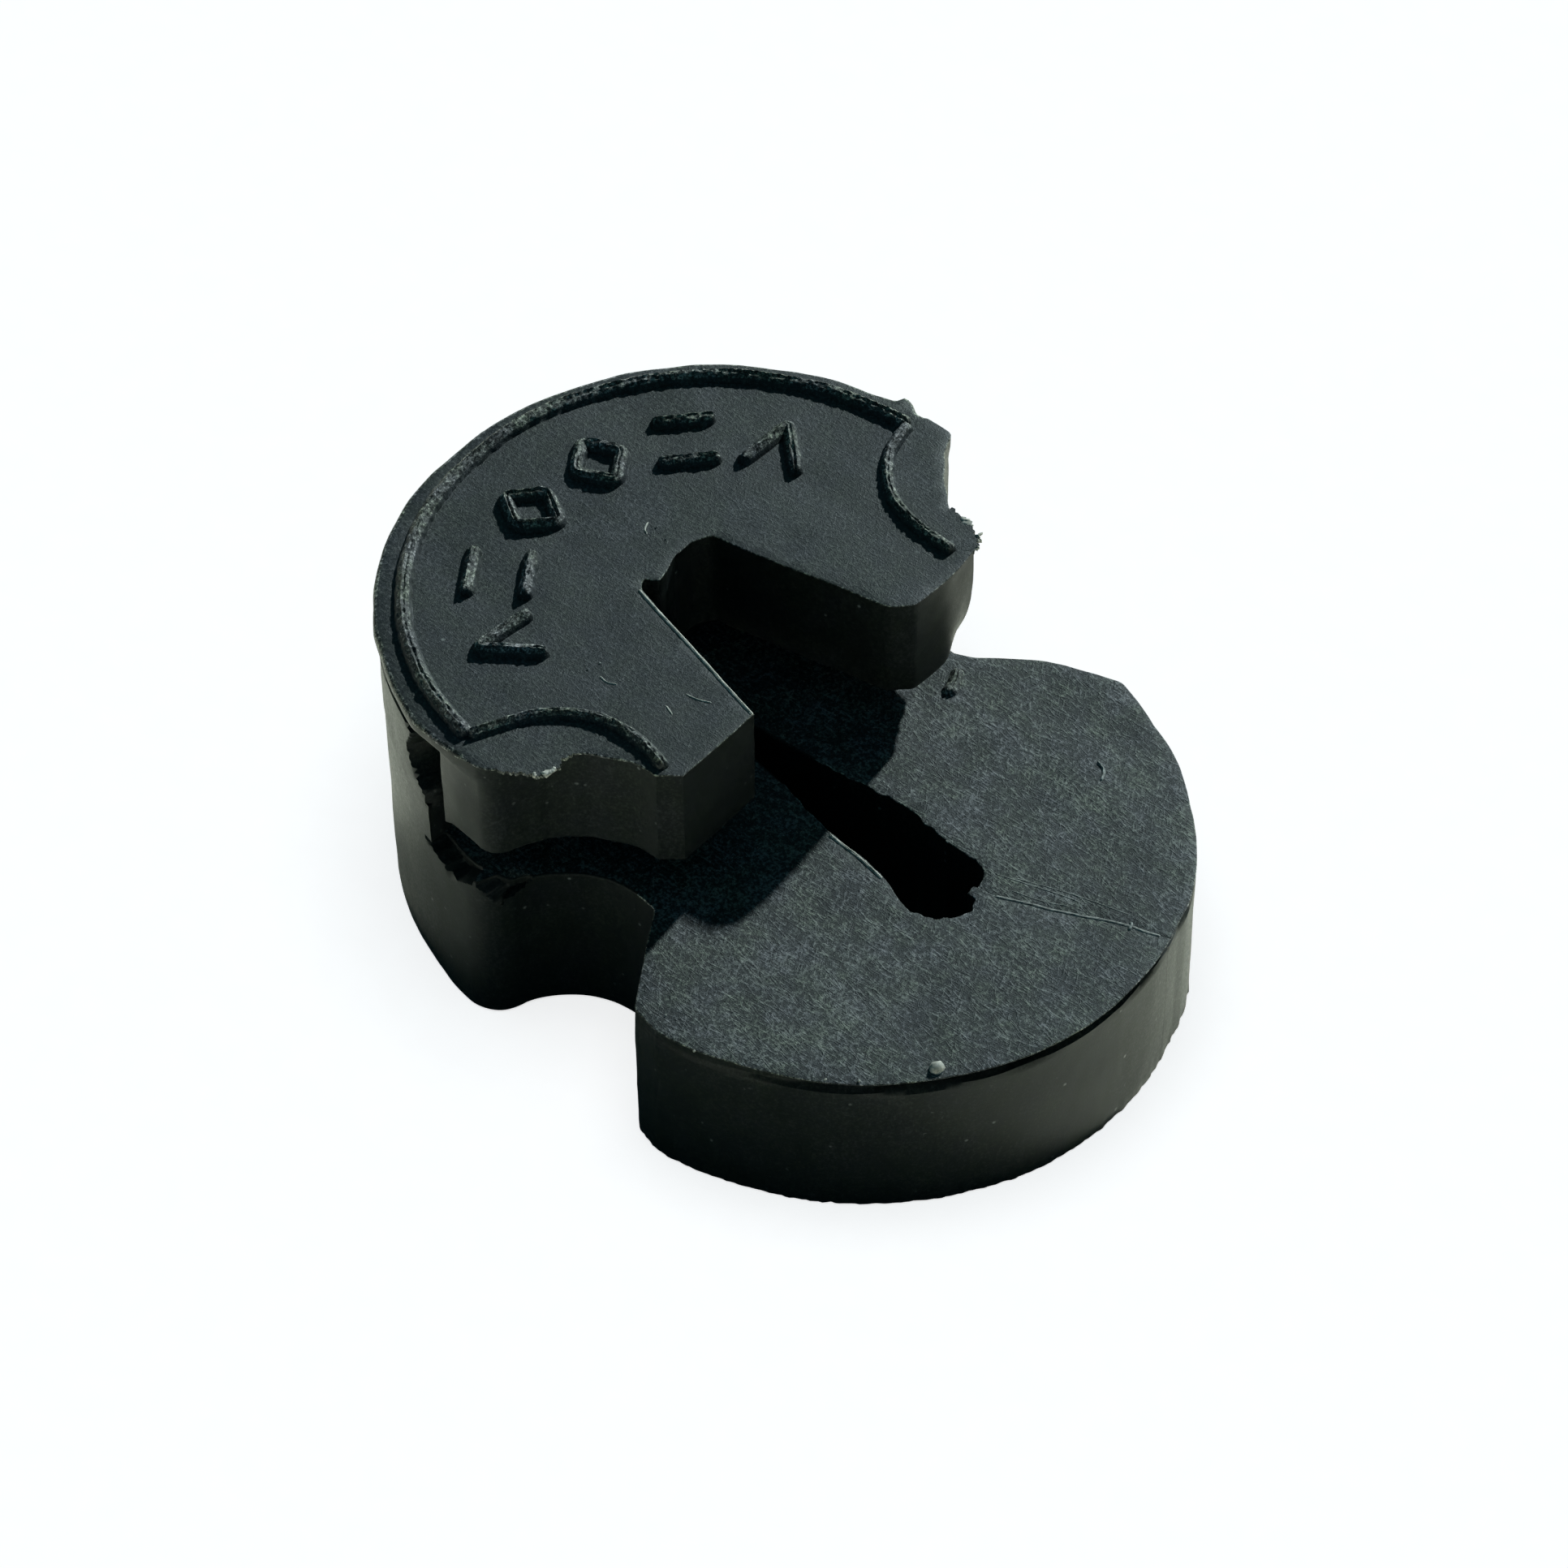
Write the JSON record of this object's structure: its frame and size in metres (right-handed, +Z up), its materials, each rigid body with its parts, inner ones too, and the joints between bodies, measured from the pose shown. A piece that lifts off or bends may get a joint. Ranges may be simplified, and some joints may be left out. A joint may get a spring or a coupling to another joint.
{
  "type": "string instrument mute",
  "caption": "One-piece black rubber clip-on mute with a wedge-mouthed jaw over a thin gap and a slotted round plain lobe.",
  "frame": {"origin": "middle of the base, on the surface it lies on", "axes": "+X from the jaw lobe to the plain lobe, +Z up out of the jaw's face"},
  "size_m": [0.0284, 0.0214, 0.0121],
  "materials": {
    "moulded_rubber": "smooth matte black rubber as it leaves the mould, with fine dust",
    "ground_rubber": "black rubber, its flat top rubbed down and finely scratched"
  },
  "bodies": {
    "back": {"back_plate": "ground_rubber", "hinge_web": "moulded_rubber", "waist_left": "ground_rubber", "waist_right": "ground_rubber"},
    "jaw": {"front_jaw": "moulded_rubber", "rim_bead": "moulded_rubber", "notch_bead_left": "moulded_rubber", "notch_bead_right": "moulded_rubber", "motif_1": "moulded_rubber", "motif_2": "moulded_rubber", "motif_3": "moulded_rubber", "motif_4": "moulded_rubber", "motif_5": "moulded_rubber", "motif_6": "moulded_rubber"},
    "left_arm": {"arm_left": "ground_rubber"},
    "right_arm": {"arm_right": "ground_rubber"}
  },
  "joints": [
    {"name": "jaw_flex", "type": "hinge", "parent": "back", "child": "jaw", "pos_m": [-0.01025, 0, 0.0069], "axis": [0, -1, 0], "range_deg": [-4, 12], "stiffness_Nm_per_rad": 0.12, "deforming": ["hinge_web"]},
    {"name": "left_arm_flex", "type": "hinge", "parent": "back", "child": "left_arm", "pos_m": [0.0014, -0.0042, 0.003], "axis": [0, 0, -1], "range_deg": [0, 4], "stiffness_Nm_per_rad": 0.06, "deforming": ["waist_left"]},
    {"name": "right_arm_flex", "type": "hinge", "parent": "back", "child": "right_arm", "pos_m": [0.0014, 0.004, 0.003], "axis": [0, 0, 1], "range_deg": [0, 4], "stiffness_Nm_per_rad": 0.06, "deforming": ["waist_right"]}
  ],
  "couplings": [
    {"joint": "right_arm_flex", "follows": "left_arm_flex", "ratio": 1}
  ]
}
